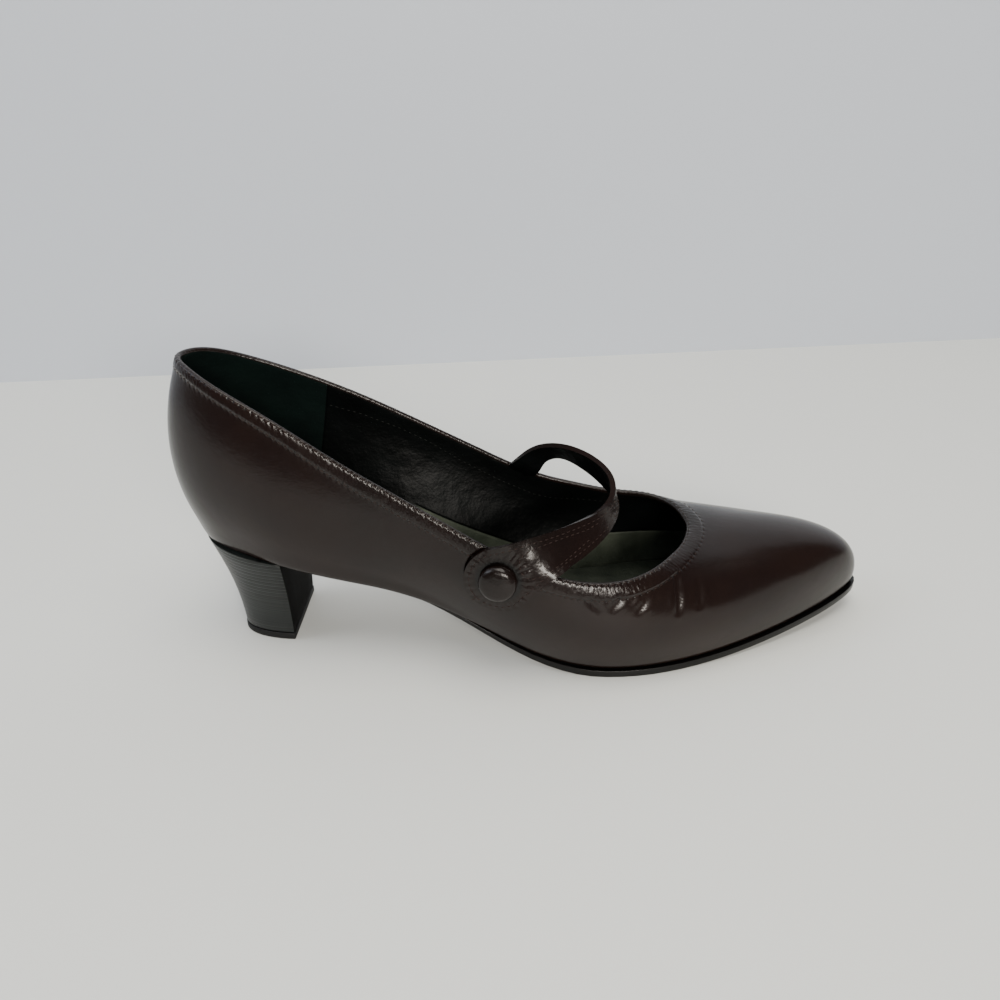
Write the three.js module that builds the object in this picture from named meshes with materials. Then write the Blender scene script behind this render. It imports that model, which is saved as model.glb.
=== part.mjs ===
// A right-foot mary jane pump in smooth leather: a hollow upper with a turned collar band,
// a thin outsole, a sock insole, a block heel with its top piece, and a strap with a
// covered button. Millimetres, +Z up, toe towards +X, the little-toe side towards -Y.
import * as THREE from 'three';
import { mergeVertices } from 'three/addons/utils/BufferGeometryUtils.js';

// Driving dimensions
const LENGTH = 265;            // back of the counter to the tip of the toe
const BALL_WIDTH = 75;         // width of the sole across the ball
const HEEL_HEIGHT = 41.5;      // floor to the underside of the sole at the back of the seat
const COUNTER_HEIGHT = 68;     // seat to topline at the back
const INSTEP_HEIGHT = 38;      // sole to topline beside the throat
const WALL = 2;                // leather and lining together
const BAND_WIDTH = 6.2;        // turned band along the topline
const BAND_STEP = 0.5;         // how far the band stands proud of the quarter
const SOLE_FOREPART = 2.8;     // outsole thickness under the ball and toe
const SOLE_SEAT = 1.1;         // outsole thickness under the waist and seat
const SOLE_EDGE = 0.9;         // how far the outsole shows outside the upper at the ball
const SOLE_TUCK = 0.6;         // how far it is tucked in under the upper at the seat
const INSOLE = 2.4;            // sock and insole together
const HEEL_INSET = 0.3;        // heel block inside the lower edge of the upper
const HEEL_BREAST = 42;        // back of the shoe to the flat front of the heel
const HEEL_TIP_BACK = 20.3;    // back of the shoe to the back of the heel at the floor
const HEEL_TIP_WIDTH = 33;     // heel width at the floor
const HEEL_WAIST = 0.16;       // how much the heel's sides draw in between its ends
const SEAT_ROUND = 1.08;       // power of the heel's half oval at the seat
const TIP_ROUND = 0.55;        // the same at the floor, where its back corners are squarer
const TOP_PIECE = 3;           // wearing piece under the heel
const TOP_PIECE_EDGE = 0.2;    // how far it stands outside the heel block
const TOP_PIECE_BEVEL = 0.5;   // its rounded lower edge
const STRAP_THICK = 2;         // strap leather with its lining
const STRAP_ARCH = 26;         // strap's crest above the topline beside the throat
const TAB_RADIUS = 12.3;       // rounded end of the strap
const BUTTON_RADIUS = 6.8;     // covered button
const BUTTON_HEIGHT = 3.8;     // crown of the button above the tab
const BUTTON_WALL = 1.2;       // height of its upright side
const TOPLINE_ROUND = 0.6;     // rounding of the turned edge of the collar band
const GAP = 0.3;               // clearance between pieces that meet

// Grid densities
const STEPS_PER_SECTION = 4;
const WALL_STEPS = 11;
const SOLE_STEPS = 6;
const STRAP_STEPS = 3;
const STRAP_ACROSS = 6;
const TAB_STEPS = 7;
const HEEL_STEPS = 24;
const HEEL_LEVELS = 8;
const BUTTON_STEPS = 32;

// Sections of the last from the back of the heel to the tip of the toe.
// at, lateral, medial: feather line, as shares of LENGTH and BALL_WIDTH.
// lift: underside of the sole, as a share of HEEL_HEIGHT.  tread: 0 at the seat, 1 forward.
// topAt, topLateral, topMedial: topline, as shares of LENGTH and BALL_WIDTH.
// riseLateral, riseMedial: topline above the feather line, as shares of COUNTER_HEIGHT
// where vamp is 0 and of INSTEP_HEIGHT where vamp is 1.
// wall, lean: handle of the rib at the feather line, as a share of its chord, and degrees.
// brow, slope: the same at the topline.  band: share of BAND_WIDTH.
const SECTIONS = table(
  'at lateral medial lift tread topAt topLateral topMedial riseLateral riseMedial vamp'
    + ' wall lean brow slope band', [
  [0.032, 0, 0, 1, 0, 0.032, 0, 0, 1, 1, 0, 0.36, 28, 0.34, 25, 0.6],
  [0.053, -0.15, 0.15, 0.995, 0, 0.049, -0.12, 0.13, 0.995, 0.985, 0, 0.36, 26, 0.34, 22, 0.6],
  [0.1, -0.25, 0.25, 0.98, 0, 0.092, -0.235, 0.24, 0.95, 0.92, 0, 0.35, 22, 0.34, 18, 0.7],
  [0.17, -0.33, 0.31, 0.925, 0, 0.17, -0.32, 0.305, 0.84, 0.825, 0, 0.36, 18, 0.34, 14, 0.85],
  [0.253, -0.33, 0.275, 0.8, 0, 0.255, -0.35, 0.345, 0.79, 0.84, 0.25, 0.36, 20, 0.34, 14, 1],
  [0.34, -0.31, 0.24, 0.625, 0.1, 0.34, -0.38, 0.385, 0.79, 0.86, 0.5, 0.36, 26, 0.34, 15, 1],
  [0.423, -0.32, 0.26, 0.33, 0.4, 0.419, -0.42, 0.42, 0.925, 1, 0.75, 0.38, 30, 0.33, 16, 1],
  [0.506, -0.38, 0.35, 0.085, 0.8, 0.496, -0.455, 0.44, 1.1, 1.175, 1, 0.38, 28, 0.33, 18, 1],
  [0.589, -0.435, 0.455, 0, 1, 0.56, -0.46, 0.447, 1.045, 1.13, 1, 0.38, 24, 0.33, 24, 1],
  [0.672, -0.405, 0.535, 0, 1, 0.615, -0.42, 0.427, 1, 1.07, 1, 0.38, 20, 0.34, 34, 1],
  [0.755, -0.3, 0.56, 0.012, 1, 0.66, -0.32, 0.393, 0.99, 1.058, 1, 0.4, 16, 0.36, 48, 1],
  [0.838, -0.153, 0.553, 0.053, 1, 0.69, -0.19, 0.347, 0.953, 1, 1, 0.38, 12, 0.42, 62, 1],
  [0.915, 0.013, 0.51, 0.113, 1, 0.708, -0.08, 0.28, 0.882, 0.918, 1, 0.34, 10, 0.5, 76, 1],
  [0.97, 0.16, 0.427, 0.169, 1, 0.718, 0.02, 0.193, 0.825, 0.84, 1, 0.33, 8, 0.56, 84, 1],
  [0.993, 0.28, 0.28, 0.193, 1, 0.722, 0.107, 0.107, 0.8, 0.8, 1, 0.33, 8, 0.58, 88, 1],
]);

// Cross lines of the strap from the button forward, over the opening and back down inside
// the far side. At and out are shares of LENGTH and BALL_WIDTH, high is a share of
// STRAP_ARCH above the topline beside the throat.
const STRAP_ROWS = table(
  'rearAt rearOut rearHigh frontAt frontOut frontHigh', [
  [0.457, -0.46, 0.57, 0.503, -0.47, -0.11],
  [0.483, -0.44, 0.61, 0.53, -0.46, 0.13],
  [0.525, -0.355, 0.63, 0.559, -0.38, 0.21],
  [0.562, -0.26, 0.65, 0.584, -0.28, 0.29],
  [0.589, -0.173, 0.68, 0.604, -0.167, 0.38],
  [0.606, -0.08, 0.78, 0.615, 0, 0.48],
  [0.604, 0.047, 0.89, 0.603, 0.12, 0.56],
  [0.581, 0.16, 0.98, 0.571, 0.26, 0.67],
  [0.54, 0.28, 0.98, 0.54, 0.36, 0.69],
  [0.502, 0.35, 0.85, 0.52, 0.385, 0.6],
  [0.475, 0.37, 0.62, 0.509, 0.385, 0.41],
  [0.455, 0.367, 0.34, 0.497, 0.373, 0.13],
]);
const TAB_AT = 0.46;           // centre of the button, as a share of LENGTH
const TAB_RAISE = 0.08;        // its height as a share of STRAP_ARCH, as in the table above
const TAB_TURN = 38;           // degrees that the strap climbs as it leaves the tab

// Materials
const leather = new THREE.MeshStandardMaterial({ color: 0x352723, roughness: 0.36 });
const buttonLeather = new THREE.MeshStandardMaterial({ color: 0x30221f, roughness: 0.33 });
const soleResin = new THREE.MeshStandardMaterial({ color: 0x121212, roughness: 0.4 });
const heelStack = new THREE.MeshStandardMaterial({ color: 0x202525, roughness: 0.45 });
const topRubber = new THREE.MeshStandardMaterial({ color: 0x0e0f0f, roughness: 0.65 });
const sock = new THREE.MeshStandardMaterial({ color: 0x40463c, roughness: 0.55 });

function table(names, rows) {
  const keys = names.split(/\s+/);
  return rows.map((row) => Object.fromEntries(keys.map((key, i) => [key, row[i]])));
}

const vec = (x, y, z) => new THREE.Vector3(x, y, z);
const lerp = THREE.MathUtils.lerp;
const radians = THREE.MathUtils.degToRad;

// Second-derivative-continuous closed curve through values at given knots
function closedSpline(knots, values) {
  const n = values.length;
  const gap = (i) => knots[i + 1] - knots[i];
  const slopes = values.map((v, i) => (values[(i + 1) % n] - v) / gap(i));
  const rows = values.map((_, i) => {
    const before = (i + n - 1) % n;
    const row = new Array(n + 1).fill(0);
    row[before] += gap(before);
    row[i] += 2 * (gap(before) + gap(i));
    row[(i + 1) % n] += gap(i);
    row[n] = 6 * (slopes[i] - slopes[before]);
    return row;
  });
  const bends = solve(rows);
  return (i, share) => {
    const h = gap(i);
    const b = share;
    const a = 1 - share;
    const j = (i + 1) % n;
    return a * values[i] + b * values[j]
      + ((a ** 3 - a) * bends[i] + (b ** 3 - b) * bends[j]) * h * h / 6;
  };
}

// Gauss-Jordan elimination on rows that end with their right-hand side
function solve(rows) {
  const n = rows.length;
  for (let i = 0; i < n; i++) {
    const pivot = rows[i][i];
    for (let k = i; k <= n; k++) rows[i][k] /= pivot;
    for (let j = 0; j < n; j++) {
      const factor = rows[j][i];
      if (j === i || factor === 0) continue;
      for (let k = i; k <= n; k++) rows[j][k] -= factor * rows[i][k];
    }
  }
  return rows.map((row) => row[n]);
}

// Sections in order round the shoe: back, along the lateral side, toe, back along the medial
const TOE = SECTIONS.length - 1;
const AROUND = [
  ...SECTIONS.map((row) => station(row, 'Lateral')),
  ...SECTIONS.slice(1, TOE).reverse().map((row) => station(row, 'Medial')),
];
const COLUMNS = AROUND.length * STEPS_PER_SECTION;

function station(row, side) {
  const riseUnit = lerp(COUNTER_HEIGHT, INSTEP_HEIGHT, row.vamp);
  const thick = lerp(SOLE_SEAT, SOLE_FOREPART, row.tread);
  const footZ = row.lift * HEEL_HEIGHT + thick + GAP;
  return {
    footX: row.at * LENGTH,
    footY: row[side.toLowerCase()] * BALL_WIDTH,
    footZ,
    topX: row.topAt * LENGTH,
    topY: row[`top${side}`] * BALL_WIDTH,
    topZ: footZ + row[`rise${side}`] * riseUnit,
    wall: row.wall,
    lean: row.lean,
    brow: row.brow,
    slope: row.slope,
    band: row.band * BAND_WIDTH,
    thick,
    edge: lerp(-SOLE_TUCK, SOLE_EDGE, row.tread),
  };
}

// Every column of the upper: the section values interpolated round the shoe
function columnsAround() {
  const n = AROUND.length;
  const knots = [0];
  for (let i = 0; i < n; i++) {
    const a = AROUND[i];
    const b = AROUND[(i + 1) % n];
    knots.push(knots[i] + Math.hypot(b.footX - a.footX, b.footY - a.footY));
  }
  const curves = Object.keys(AROUND[0]).map((key) => [
    key, closedSpline(knots, AROUND.map((row) => row[key])),
  ]);
  return Array.from({ length: COLUMNS }, (_, c) => {
    const i = Math.floor(c / STEPS_PER_SECTION);
    const share = (c % STEPS_PER_SECTION) / STEPS_PER_SECTION;
    return Object.fromEntries(curves.map(([key, curve]) => [key, curve(i, share)]));
  });
}

// Outward direction, in plan, of a closed run of points that goes round the shoe
function outward(list, c, x, y) {
  const before = list[(c + COLUMNS - 1) % COLUMNS];
  const after = list[(c + 1) % COLUMNS];
  return vec(after[y] - before[y], -(after[x] - before[x]), 0).normalize();
}

const COLUMN = columnsAround();
const RIBS = COLUMN.map((col, c) => {
  const foot = vec(col.footX, col.footY, col.footZ);
  const top = vec(col.topX, col.topY, col.topZ);
  const chord = foot.distanceTo(top);
  const footOut = outward(COLUMN, c, 'footX', 'footY');
  const topOut = outward(COLUMN, c, 'topX', 'topY');
  const lean = radians(col.lean);
  const slope = radians(col.slope);
  const low = foot.clone()
    .addScaledVector(footOut, Math.sin(lean) * col.wall * chord)
    .addScaledVector(vec(0, 0, 1), Math.cos(lean) * col.wall * chord);
  const high = top.clone()
    .addScaledVector(topOut, Math.sin(slope) * col.brow * chord)
    .addScaledVector(vec(0, 0, -1), Math.cos(slope) * col.brow * chord);
  const curve = new THREE.CubicBezierCurve3(foot, low, high, top);
  curve.arcLengthDivisions = 80;
  return { curve, footOut, length: curve.getLength(), band: col.band };
});

// Point of the last's surface on a rib, at a distance up from the feather line
function skinPoint(c, up) {
  const rib = RIBS[(c + COLUMNS) % COLUMNS];
  return rib.curve.getPointAt(THREE.MathUtils.clamp(up / rib.length, 0, 1));
}

// Outward normal of that surface
function skinNormal(c, up) {
  const rib = RIBS[(c + COLUMNS) % COLUMNS];
  const share = up / rib.length;
  const next = RIBS[(c + 1) % COLUMNS];
  const last = RIBS[(c + COLUMNS - 1) % COLUMNS];
  const along = skinPoint(c + 1, share * next.length).sub(skinPoint(c - 1, share * last.length));
  const climb = rib.curve.getTangentAt(THREE.MathUtils.clamp(share, 0, 1));
  return along.cross(climb).normalize();
}

const raised = (c, up, offset) => skinPoint(c, up).addScaledVector(skinNormal(c, up), offset);

// One rib of the upper as a closed loop: outside from the feather line to the topline with
// the band's step, over the rounded edge, and down the lining side
function upperLoop(c) {
  const { length, band, footOut } = RIBS[c];
  const below = length - band - BAND_STEP;
  const outside = [];
  for (let i = 0; i <= WALL_STEPS; i++) outside.push(raised(c, below * i / WALL_STEPS, 0));
  for (const up of [length - band, length - band / 2, length - TOPLINE_ROUND]) {
    outside.push(raised(c, up, BAND_STEP));
  }
  const crest = raised(c, length, (BAND_STEP - WALL) / 2);
  const inside = [length - TOPLINE_ROUND, length - band].map((up) => raised(c, up, -WALL));
  for (let i = WALL_STEPS - 1; i > 0; i--) inside.push(raised(c, below * i / WALL_STEPS, -WALL));
  inside.push(skinPoint(c, 0).addScaledVector(footOut, -WALL));
  return [...outside, crest, ...inside];
}

// Closed mesh from a grid of points. Coincident points are merged and empty faces dropped.
function solid(points, faces) {
  const geometry = new THREE.BufferGeometry();
  geometry.setAttribute('position', new THREE.Float32BufferAttribute(
    points.flatMap((p) => [p.x, p.y, p.z]), 3));
  geometry.setIndex(faces.flat());
  const merged = mergeVertices(geometry, 1e-3);
  const index = merged.index.array;
  const kept = [];
  for (let i = 0; i < index.length; i += 3) {
    const [a, b, c] = index.slice(i, i + 3);
    if (a !== b && b !== c && c !== a) kept.push(a, b, c);
  }
  merged.setIndex(kept);
  merged.computeVertexNormals();
  return merged;
}

const quad = (a, b, c, d) => [[a, b, c], [a, c, d]];

// Loops of equal length joined side to side; round is true where the last meets the first
function lofted(loops, round) {
  const m = loops[0].length;
  const faces = [];
  const last = round ? loops.length : loops.length - 1;
  for (let i = 0; i < last; i++) {
    const j = (i + 1) % loops.length;
    for (let k = 0; k < m; k++) {
      const l = (k + 1) % m;
      faces.push(...quad(i * m + k, j * m + k, j * m + l, i * m + l));
    }
  }
  const points = loops.flat();
  if (!round) {
    for (const [loop, start, turn] of [[loops[0], 0, 1], [loops.at(-1), (loops.length - 1) * m, 0]]) {
      const centre = loop.reduce((sum, p) => sum.add(p), vec(0, 0, 0)).divideScalar(m);
      points.push(centre);
      for (let k = 0; k < m; k++) {
        const a = start + k;
        const b = start + (k + 1) % m;
        faces.push(turn ? [a, b, points.length - 1] : [b, a, points.length - 1]);
      }
    }
  }
  return solid(points, faces);
}

// A thick sheet from cross lines of its upper and lower faces
function sheet(upperFace, lowerFace) {
  return lofted(upperFace.map((line, i) => [...line, ...[...lowerFace[i]].reverse()]), false);
}

// Cross lines from the lateral to the medial feather line, back of the heel to the toe
function crossLines(outset, height) {
  const lines = [];
  const half = COLUMNS / 2;
  for (let c = 0; c <= half; c += 1) {
    const ends = [c, (COLUMNS - c) % COLUMNS].map((k) => {
      const col = COLUMN[k];
      const out = RIBS[k].footOut;
      const reach = outset(col);
      return vec(col.footX + out.x * reach, col.footY + out.y * reach, height(col));
    });
    lines.push(Array.from({ length: SOLE_STEPS + 1 },
      (_, i) => ends[0].clone().lerp(ends[1], i / SOLE_STEPS)));
  }
  return lines;
}

const soleTop = (col) => col.footZ - GAP;
const soleUnder = (col) => Math.max(0, soleTop(col) - col.thick);

function outsole() {
  const edge = (col) => col.edge;
  return sheet(crossLines(edge, soleTop), crossLines(edge, soleUnder));
}

function insole() {
  const edge = () => -(WALL + 2 * GAP);
  const under = (col) => soleTop(col) + GAP;
  const top = (col) => under(col) + INSOLE;
  return sheet(crossLines(edge, top), crossLines(edge, under));
}

// Height and half width of the seat at a distance along the shoe, from the outsole's edge
function seatAt(x) {
  let c = 1;
  while (COLUMN[c + 1].footX < x) c += 1;
  const a = COLUMN[c];
  const b = COLUMN[c + 1];
  const share = (x - a.footX) / (b.footX - a.footX);
  return { z: lerp(soleUnder(a), soleUnder(b), share), y: lerp(-a.footY, -b.footY, share) };
}

// Outline of the heel: from the lateral corner of the breast round the back to the medial
// corner, and straight across. share is 0 at the seat and 1 at the floor.
function heelOutline(share, outset) {
  const seatBack = COLUMN[0].footX + HEEL_INSET;
  const seatHalf = seatAt(HEEL_BREAST).y - HEEL_INSET;
  const draw = share + HEEL_WAIST * Math.sin(Math.PI * share);
  const back = lerp(seatBack, HEEL_TIP_BACK, draw) - outset;
  const half = lerp(seatHalf, HEEL_TIP_WIDTH / 2, draw) + outset;
  const breast = HEEL_BREAST + outset;
  const round = lerp(SEAT_ROUND, TIP_ROUND, share);
  const outline = [];
  for (let i = 0; i <= HEEL_STEPS; i++) {
    const turn = Math.PI * i / HEEL_STEPS;
    outline.push([breast - (breast - back) * Math.sin(turn),
      -half * Math.sign(Math.cos(turn)) * Math.abs(Math.cos(turn)) ** round]);
  }
  for (const across of [0.5, 0, -0.5]) outline.push([breast, half * across]);
  return outline;
}

function heelBlock() {
  const loops = [];
  for (let i = 0; i <= HEEL_LEVELS; i++) {
    const share = i / HEEL_LEVELS;
    const floor = TOP_PIECE + GAP;
    loops.push(heelOutline(share, 0).map(([x, y]) => {
      const seat = seatAt(Math.max(x, COLUMN[2].footX)).z - GAP;
      return vec(x, y, lerp(seat, floor, share));
    }));
  }
  return lofted(loops.reverse(), false);
}

function topPiece() {
  const loop = (z, outset) => heelOutline(1, outset).map(([x, y]) => vec(x, y, z));
  return lofted([
    loop(0, TOP_PIECE_EDGE - TOP_PIECE_BEVEL),
    loop(TOP_PIECE_BEVEL, TOP_PIECE_EDGE),
    loop(TOP_PIECE, TOP_PIECE_EDGE),
  ], false);
}

// Height of the topline beside the throat, which the strap's heights are measured from
const THROAT = SECTIONS.find((row) => row.vamp === 1 && row.riseLateral === 1);
const THROAT_Z = THROAT.lift * HEEL_HEIGHT + SOLE_FOREPART + GAP + INSTEP_HEIGHT;

// Point and normal of the lateral quarter at a place seen from the side: a coarse search
// over the ribs, then steps that halve. over says that the place is above the topline.
function onQuarter(x, z) {
  const first = STEPS_PER_SECTION * 3;
  const last = STEPS_PER_SECTION * 10;
  const look = (c, s) => {
    const low = Math.floor(c);
    const a = skinPoint(low, s * RIBS[low].length);
    const b = skinPoint(low + 1, s * RIBS[low + 1].length);
    const point = a.lerp(b, c - low);
    return { c, s, low, point, miss: Math.hypot(point.x - x, point.z - z) };
  };
  let best = look(first, 0);
  const offer = (c, s) => {
    if (c < first || c > last || s < 0 || s > 1) return;
    const seen = look(c, s);
    if (seen.miss < best.miss) best = seen;
  };
  for (let c = first; c < last; c += 1) for (let s = 0; s <= 1; s += 0.1) offer(c, s);
  for (let step = 1; step > 1e-3; step /= 2) {
    for (let turn = 0; turn < 4; turn++) {
      const { c, s } = best;
      for (const [dc, ds] of [[1, 0], [-1, 0], [0, 1], [0, -1]]) {
        offer(c + dc * step, s + ds * step * 0.1);
      }
    }
  }
  const normal = skinNormal(best.low, best.s * RIBS[best.low].length);
  return { point: best.point, normal, over: best.miss > STRAP_THICK };
}

// Cross lines of the strap as pairs of edge points, the tab's round end first
function strapEdges() {
  const high = (share) => THROAT_Z + share * STRAP_ARCH;
  const turn = radians(TAB_TURN);
  const along = vec(Math.cos(turn), 0, Math.sin(turn));
  const across = vec(-Math.sin(turn), 0, Math.cos(turn));
  const centre = vec(TAB_AT * LENGTH, 0, high(TAB_RAISE));
  const lead = STRAP_ROWS[0].rearOut * BALL_WIDTH;
  const edges = [];
  for (let i = 0; i <= TAB_STEPS; i++) {
    const swing = Math.PI / 2 * i / TAB_STEPS;
    const middle = centre.clone().addScaledVector(along, -TAB_RADIUS * Math.cos(swing));
    middle.y = lead;
    const half = TAB_RADIUS * Math.sin(swing);
    edges.push([middle.clone().addScaledVector(across, half),
      middle.clone().addScaledVector(across, -half)]);
  }
  const rear = [edges.at(-1)[0]];
  const front = [edges.at(-1)[1]];
  for (const row of STRAP_ROWS) {
    rear.push(vec(row.rearAt * LENGTH, row.rearOut * BALL_WIDTH, high(row.rearHigh)));
    front.push(vec(row.frontAt * LENGTH, row.frontOut * BALL_WIDTH, high(row.frontHigh)));
  }
  const rearCurve = new THREE.CatmullRomCurve3(rear, false, 'centripetal');
  const frontCurve = new THREE.CatmullRomCurve3(front, false, 'centripetal');
  const steps = STRAP_ROWS.length * STRAP_STEPS;
  for (let i = 1; i <= steps; i++) {
    edges.push([rearCurve.getPoint(i / steps), frontCurve.getPoint(i / steps)]);
  }
  return edges;
}

// The strap's inner face, laid on the quarter where it meets it
function strapInner() {
  const clear = GAP + BAND_STEP;
  return strapEdges().map(([rear, front]) => Array.from({ length: STRAP_ACROSS + 1 }, (_, i) => {
    const p = front.clone().lerp(rear, i / STRAP_ACROSS);
    if (p.y > -BALL_WIDTH / 4) return p;
    const { point, normal, over } = onQuarter(p.x, p.z);
    if (!over) p.y = point.y + clear / normal.y;
    return p;
  }));
}

function strap() {
  const inner = strapInner();
  const outer = inner.map((line, i) => line.map((p, k) => {
    const before = inner[Math.max(i - 1, 0)][k];
    const after = inner[Math.min(i + 1, inner.length - 1)][k];
    const row = inner[Math.max(i, 1)];
    const across = row.at(-1).clone().sub(row[0]);
    const normal = after.clone().sub(before).cross(across).normalize();
    return p.clone().addScaledVector(normal, STRAP_THICK);
  }));
  return sheet(outer, inner);
}

// A shallow crown over an upright side. Its points are shares of the radius and of the
// crown's height above the side.
function button() {
  const crown = [[0.96, 0.35], [0.84, 0.7], [0.6, 0.9], [0.3, 0.98], [0, 1]];
  const dome = crown.map(([out, up]) => [
    out * BUTTON_RADIUS, lerp(BUTTON_WALL, BUTTON_HEIGHT, up)]);
  const side = [[0, 0], [BUTTON_RADIUS - GAP, 0], [BUTTON_RADIUS, GAP], [BUTTON_RADIUS, BUTTON_WALL]];
  const profile = [...side, ...dome].map(([r, h]) => new THREE.Vector2(r, h));
  return new THREE.LatheGeometry(profile, BUTTON_STEPS);
}

function placedButton() {
  const mesh = piece('button', button(), buttonLeather);
  const { point, normal } = onQuarter(TAB_AT * LENGTH, THROAT_Z + TAB_RAISE * STRAP_ARCH);
  const reach = GAP + BAND_STEP + STRAP_THICK + GAP;
  mesh.quaternion.setFromUnitVectors(vec(0, 1, 0), normal);
  mesh.position.copy(point.addScaledVector(normal, reach));
  return mesh;
}

function piece(name, geometry, material) {
  const mesh = new THREE.Mesh(geometry, material);
  mesh.name = name;
  return mesh;
}

const shoe = new THREE.Group();
shoe.add(
  piece('upper', lofted(Array.from({ length: COLUMNS }, (_, c) => upperLoop(c)), true), leather),
  piece('outsole', outsole(), soleResin),
  piece('insole', insole(), sock),
  piece('heel', heelBlock(), heelStack),
  piece('top_piece', topPiece(), topRubber),
  piece('strap', strap(), leather),
  placedButton(),
);

// The shoe stands on the floor, centred on its own length and width
const bounds = new THREE.Box3().setFromObject(shoe, true);
const middle = bounds.getCenter(vec(0, 0, 0));
shoe.position.set(-middle.x, -middle.y, -bounds.min.z);
shoe.updateMatrixWorld(true);

export default shoe;
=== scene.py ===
# %% [markdown]
# # A leather mary jane pump
# The shoe's solids come in as a fixed frame, already at their real size. Each cell here
# dresses one of them: the leather upper with its stitched band and its creases, the lining,
# the strap with its covered button, the sole and the stacked heel. Sizes are in metres,
# because that is Blender's unit, and the small ones are written as millimetres times MM.

import math

import bpy
import bmesh
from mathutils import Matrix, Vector
from mathutils.bvhtree import BVHTree


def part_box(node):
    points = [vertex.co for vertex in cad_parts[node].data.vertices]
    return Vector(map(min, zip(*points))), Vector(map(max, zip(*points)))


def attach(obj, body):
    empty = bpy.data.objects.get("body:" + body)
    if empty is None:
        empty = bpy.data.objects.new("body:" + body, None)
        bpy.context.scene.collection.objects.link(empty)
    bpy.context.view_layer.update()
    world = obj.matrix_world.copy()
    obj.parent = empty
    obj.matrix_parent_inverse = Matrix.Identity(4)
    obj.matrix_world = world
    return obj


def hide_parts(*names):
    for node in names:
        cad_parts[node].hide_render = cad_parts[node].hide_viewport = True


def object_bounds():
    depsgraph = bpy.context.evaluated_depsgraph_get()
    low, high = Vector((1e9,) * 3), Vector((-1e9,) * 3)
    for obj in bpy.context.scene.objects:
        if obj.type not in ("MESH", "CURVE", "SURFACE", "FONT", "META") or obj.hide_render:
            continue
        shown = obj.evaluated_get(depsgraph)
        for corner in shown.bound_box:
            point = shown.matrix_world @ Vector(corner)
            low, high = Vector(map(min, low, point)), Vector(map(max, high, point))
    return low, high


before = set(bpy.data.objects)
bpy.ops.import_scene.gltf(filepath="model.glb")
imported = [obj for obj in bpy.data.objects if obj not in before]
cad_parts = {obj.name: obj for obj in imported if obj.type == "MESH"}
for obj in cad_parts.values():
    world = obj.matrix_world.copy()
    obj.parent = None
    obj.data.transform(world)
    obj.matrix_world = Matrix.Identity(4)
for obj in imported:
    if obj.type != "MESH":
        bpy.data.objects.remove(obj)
CAD_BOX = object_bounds()
MM = 0.001
BULGE = 0.53 * MM      # the pattern's zero lies this far behind the back of the counter
HEEL_X = CAD_BOX[0].x - BULGE
HEEL_Y = sum(corner.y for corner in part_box("heel")) / 2
print("nodes:", sorted(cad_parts))

# %% [markdown]
# ## Places on the shoe
# A shoemaker measures from the back of the heel, from its middle line and from the floor.
# One small function turns such a place, in millimetres, into the frame's metres, so that
# creases, seams and stitches can be placed as on the real shoe. The little-toe side, with
# the button, is the negative one.


# %% Places
def place(along, across, up):
    """Millimetres from the back of the heel, its middle line and the floor, as a point."""
    return Vector((HEEL_X + along * MM, HEEL_Y + across * MM, up * MM))


def only(obj):
    """Selects one object and nothing else."""
    bpy.ops.object.select_all(action="DESELECT")
    obj.select_set(True)
    bpy.context.view_layer.objects.active = obj


def use(obj, kind, **settings):
    """Adds a modifier with its settings and applies it."""
    only(obj)
    made = obj.modifiers.new(kind.title(), kind)
    for name, value in settings.items():
        setattr(made, name, value)
    bpy.ops.object.modifier_apply(modifier=made.name)


# %% [markdown]
# ## Quads from triangles
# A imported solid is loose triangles. Subdivision likes quads, so a copy is merged, and then
# the diagonals that cut its quads in two are found and dissolved. They all lean the same
# way, so one sure diagonal, opposite a right angle, tells all the others.


# %% Copies in quads
FAN = 9


def leaning_edges(mesh):
    """The diagonals of a triangulated grid. Fans round a middle point are left alone."""
    faces = [f for f in mesh.faces if all(len(v.link_edges) < FAN for v in f.verts)]
    allowed = set(faces)
    squarest = min((l for f in faces for l in f.loops),
                   key=lambda l: abs(l.calc_angle() - math.pi / 2))
    diagonal = {squarest.face: squarest.link_loop_next.edge}
    waiting = [squarest.face]
    while waiting:
        face = waiting.pop()
        lean = diagonal[face]
        for edge in face.edges:
            beyond = [f for f in edge.link_faces if f in allowed and f not in diagonal]
            for other in beyond:
                if edge is lean:
                    diagonal[other] = lean
                else:
                    far = next(v for v in edge.verts if v not in lean.verts)
                    diagonal[other] = next(e for e in other.edges if far in e.verts and e is not edge)
                waiting.append(other)
    return {e for e in diagonal.values() if all(diagonal.get(f) is e for f in e.link_faces)}


def quad_copy(node, name):
    """A copy of a CAD node as a quad mesh, which stands for the node."""
    piece = bpy.data.objects.new(name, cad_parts[node].data.copy())
    bpy.context.scene.collection.objects.link(piece)
    only(piece)
    bpy.ops.object.mode_set(mode="EDIT")
    bpy.ops.mesh.select_all(action="SELECT")
    bpy.ops.mesh.remove_doubles(threshold=0.005 * MM)
    bpy.ops.mesh.select_all(action="DESELECT")
    bpy.ops.mesh.select_mode(type="EDGE")
    mesh = bmesh.from_edit_mesh(piece.data)
    for edge in leaning_edges(mesh):
        edge.select_set(True)
    bmesh.update_edit_mesh(piece.data)
    bpy.ops.mesh.dissolve_edges(use_verts=False, use_face_split=False)
    bpy.ops.object.mode_set(mode="OBJECT")
    piece.data.materials.clear()
    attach(piece, "root")
    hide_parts(node)
    odd = sum(len(f.vertices) != 4 for f in piece.data.polygons)
    print(name, len(piece.data.polygons), "faces,", odd, "of them not quads")
    return piece


# %% [markdown]
# ## Materials
# Colours are picked as sRGB hex values, and shaders want linear light, so one function
# turns them. Another adds a node, sets its values and links it in one line.


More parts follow.
